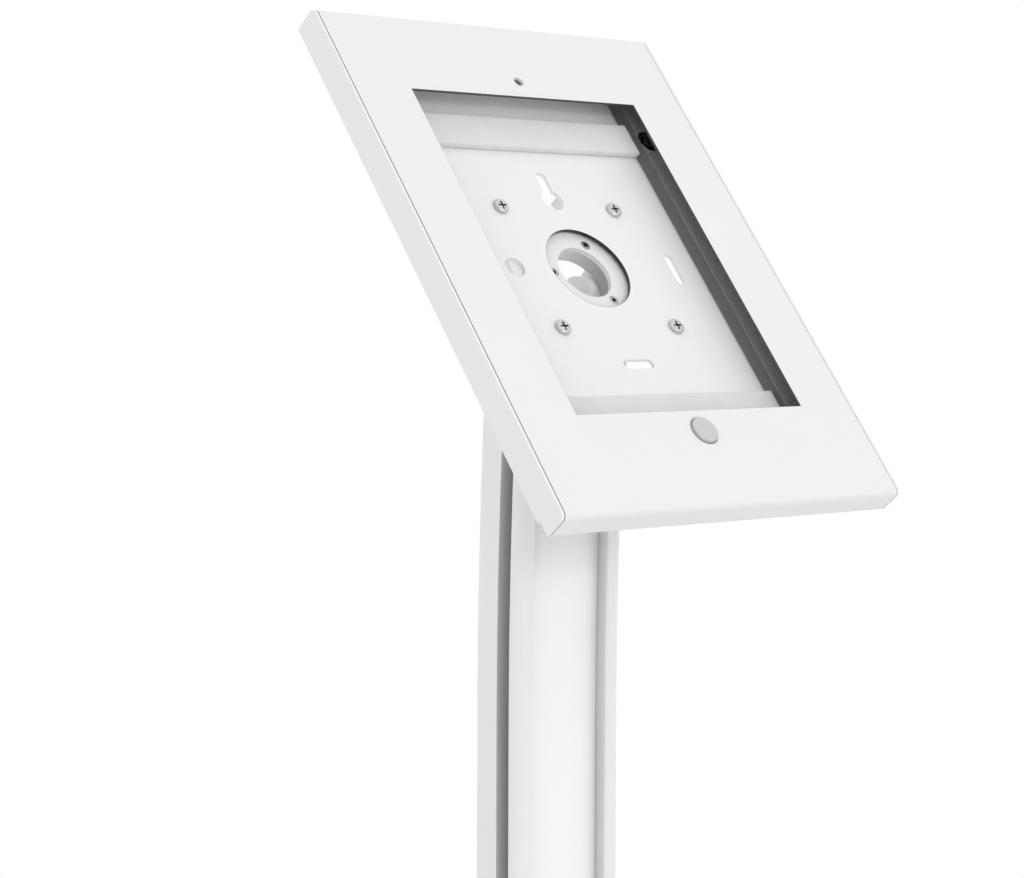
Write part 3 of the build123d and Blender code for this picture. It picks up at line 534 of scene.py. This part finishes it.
slot_materials = {
    "black_rubber": moulded("black_rubber", rubber_colour, roughness=0.7, grain=0.020 * MM),
    "plated_steel": drawn_metal("plated_steel", plated_steel_colour, roughness=0.34),
    "white_cover": moulded("white_cover", base_cover_colour, roughness=0.38, grain=0.003 * MM),
    "white_post": post_coat(),
    "white_strip": strip_plastic(),
    "screw_steel": recessed_screw("screw_steel", screw_colour),
    "white_casting": casting_coat("white_casting"),
    "washer_plastic": moulded("washer_nylon", nylon_colour, roughness=0.45, grain=0.006 * MM),
    "dark_screw": recessed_screw("dark_screw", hub_screw_colour),
    "white_sheet": powder_coat("white_sheet", sheet_colour),
    "pale_foam": foam("pale_foam", pad_colour),
    "dark_foam": liner_foam(),
    "lock_chrome": lock_metal("lock_nickel", nickel_colour, roughness=0.16),
    "button_plastic": button_plastic(),
}

# Pieces whose surface differs from the rest of their slot
black_nickel = lock_metal("black_nickel", black_nickel_colour, roughness=0.28)
node_materials = {
    "front_cover": cover_sheet(),
    "back_shell": shell_sheet(),
    "lock_cam": black_nickel,
    "cam_screw": black_nickel,
    "lock_retaining_ring": black_nickel,
    "tilt_hub": hub_casting(),
    "swivel_plate": swivel_casting(),
}


# The solids take their materials from the record's slots, and their curved faces shade smoothly

def smooth_by_angle():
    """A modifier's node group: join the facets, shade them smooth and keep sharp edges sharp."""
    group = bpy.data.node_groups.new("smooth_by_angle", "GeometryNodeTree")
    group.interface.new_socket("Mesh", in_out="INPUT", socket_type="NodeSocketGeometry")
    group.interface.new_socket("Mesh", in_out="OUTPUT", socket_type="NodeSocketGeometry")
    start = group.nodes.new("NodeGroupInput")
    end = group.nodes.new("NodeGroupOutput")
    merge = group.nodes.new("GeometryNodeMergeByDistance")
    merge.inputs["Distance"].default_value = weld_distance
    faces = group.nodes.new("GeometryNodeSetShadeSmooth")
    faces.domain = "FACE"
    angle = group.nodes.new("GeometryNodeInputMeshEdgeAngle")
    small = group.nodes.new("FunctionNodeCompare")
    small.data_type = "FLOAT"
    small.operation = "LESS_EQUAL"
    small.inputs["B"].default_value = smooth_angle
    edges = group.nodes.new("GeometryNodeSetShadeSmooth")
    edges.domain = "EDGE"
    group.links.new(start.outputs[0], merge.inputs["Geometry"])
    group.links.new(merge.outputs["Geometry"], faces.inputs["Geometry"])
    group.links.new(angle.outputs["Unsigned Angle"], small.inputs["A"])
    group.links.new(faces.outputs["Geometry"], edges.inputs["Geometry"])
    group.links.new(small.outputs["Result"], edges.inputs["Shade Smooth"])
    group.links.new(edges.outputs["Geometry"], end.inputs[0])
    return group


smoothing = smooth_by_angle()
for subpart in frame["record"]["subparts"]:
    piece = nodes[subpart["node"]]
    material = node_materials.get(subpart["node"], slot_materials[subpart["material_slot"]])
    if not piece.data.materials:
        piece.data.materials.append(material)
    for slot in piece.material_slots:
        slot.material = material
    modifier = piece.modifiers.new("Smooth", "NODES")
    modifier.node_group = smoothing


# Pads and liners

def settle(piece):
    """Apply the piece's modifiers to its mesh."""
    depsgraph = bpy.context.evaluated_depsgraph_get()
    mesh = bpy.data.meshes.new_from_object(piece.evaluated_get(depsgraph))
    piece.modifiers.clear()
    piece.data = mesh


def foam_piece(node, body, slot):
    """A die-cut foam piece in the place of its solid: softened edges and an uneven skin."""
    mesh = nodes[node].data.copy()
    mesh.transform(face.inverted())
    mesh.materials.clear()
    mesh.materials.append(slot_materials[slot])
    piece = bpy.data.objects.new(node + "_foam", mesh)
    bpy.context.scene.collection.objects.link(piece)
    weld = piece.modifiers.new("Weld", "WELD")
    weld.merge_threshold = weld_distance
    remesh = piece.modifiers.new("Remesh", "REMESH")
    remesh.mode = "VOXEL"
    remesh.voxel_size = foam_voxel
    remesh.use_smooth_shade = True
    soften = piece.modifiers.new("Soften", "SMOOTH")
    soften.factor = foam_soften
    soften.iterations = foam_soften_passes
    settle(piece)
    normals = [vertex.normal.copy() for vertex in piece.data.vertices]
    for vertex, normal in zip(piece.data.vertices, normals):
        coarse = noise.noise(vertex.co * foam_waves)
        fine = noise.noise(vertex.co * foam_fine_waves)
        vertex.co += normal * foam_bump * (coarse + foam_fine_share * fine)
    piece.data.transform(face)
    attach(piece, body)
    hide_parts(node)


for pad in ("upper_pad", "lower_pad"):
    foam_piece(pad, "case", "pale_foam")
for liner in ("left_liner", "right_liner"):
    foam_piece(liner, "case", "dark_foam")


# Stage: a pale floor that fades into the white background, soft light and the camera

def floor_material():
    """A pale floor whose far parts meet the white background."""
    material, tree, shader, place = start_material("floor", floor_colour, floor_roughness)
    output = tree.nodes["Material Output"]
    spot = distance_from(tree, place, (1, 1, 1))
    far = spread(tree, spot, 0, 1, floor_fade_start, floor_fade_end)
    rays = tree.nodes.new("ShaderNodeLightPath")
    seen = both(tree, far, rays.outputs["Is Camera Ray"])
    white = tree.nodes.new("ShaderNodeEmission")
    white.inputs["Color"].default_value = plain_white
    mix = tree.nodes.new("ShaderNodeMixShader")
    tree.links.new(seen, mix.inputs["Fac"])
    tree.links.new(shader.outputs["BSDF"], mix.inputs[1])
    tree.links.new(white.outputs["Emission"], mix.inputs[2])
    tree.links.new(mix.outputs["Shader"], output.inputs["Surface"])
    return material


def white_room():
    """A soft sky for the stand, which is plain white where it is seen or mirrored."""
    world = bpy.data.worlds.new("white_room")
    world.use_nodes = True
    tree = world.node_tree
    background = tree.nodes["Background"]
    background.inputs["Color"].default_value = plain_white
    rays = tree.nodes.new("ShaderNodeLightPath").outputs
    seen = either(tree, rays["Is Camera Ray"], rays["Is Glossy Ray"])
    seen_or_through = either(tree, seen, rays["Is Transmission Ray"])
    strength = spread(tree, seen_or_through, sky_level, background_level, 0, 1)
    tree.links.new(strength, background.inputs["Strength"])
    return world


def key_lamp():
    """A wide round lamp in front of the stand, a little above the face's middle."""
    light = bpy.data.lights.new("key", "AREA")
    light.shape = "DISK"
    light.size = key_size
    light.energy = key_power
    lamp = bpy.data.objects.new("key", light)
    lamp.location = face_origin + key_direction * key_distance
    lamp.rotation_mode = "QUATERNION"
    lamp.rotation_quaternion = (-key_direction).to_track_quat("-Z", "Y")
    return lamp


def photo_camera():
    """The camera, where the photograph was taken from."""
    back = Vector((
        math.sin(camera_azimuth) * math.cos(camera_elevation),
        -math.cos(camera_azimuth) * math.cos(camera_elevation),
        math.sin(camera_elevation),
    ))
    level_right = Vector((0, 0, 1)).cross(back).normalized()
    level_up = back.cross(level_right)
    right = level_right * math.cos(camera_roll) + level_up * math.sin(camera_roll)
    up = level_up * math.cos(camera_roll) - level_right * math.sin(camera_roll)
    lens = bpy.data.cameras.new("camera")
    lens.sensor_width = sensor_width
    lens.lens = focal_pixels / photo_width * sensor_width
    lens.clip_start = nearest_seen
    lens.clip_end = farthest_seen
    camera = bpy.data.objects.new("camera", lens)
    camera.matrix_world = (
        Matrix.Translation(face_origin + camera_from_face)
        @ Matrix((right, up, back)).transposed().to_4x4()
    )
    return camera


bpy.ops.mesh.primitive_circle_add(vertices=floor_corners, radius=floor_radius, fill_type="NGON")
floor = bpy.context.object
floor.name = "floor"
floor.data.materials.append(floor_material())

scene = bpy.context.scene
scene.world = white_room()
scene.collection.objects.link(key_lamp())
camera = photo_camera()
scene.collection.objects.link(camera)
scene.camera = camera
scene.view_settings.view_transform = "Standard"
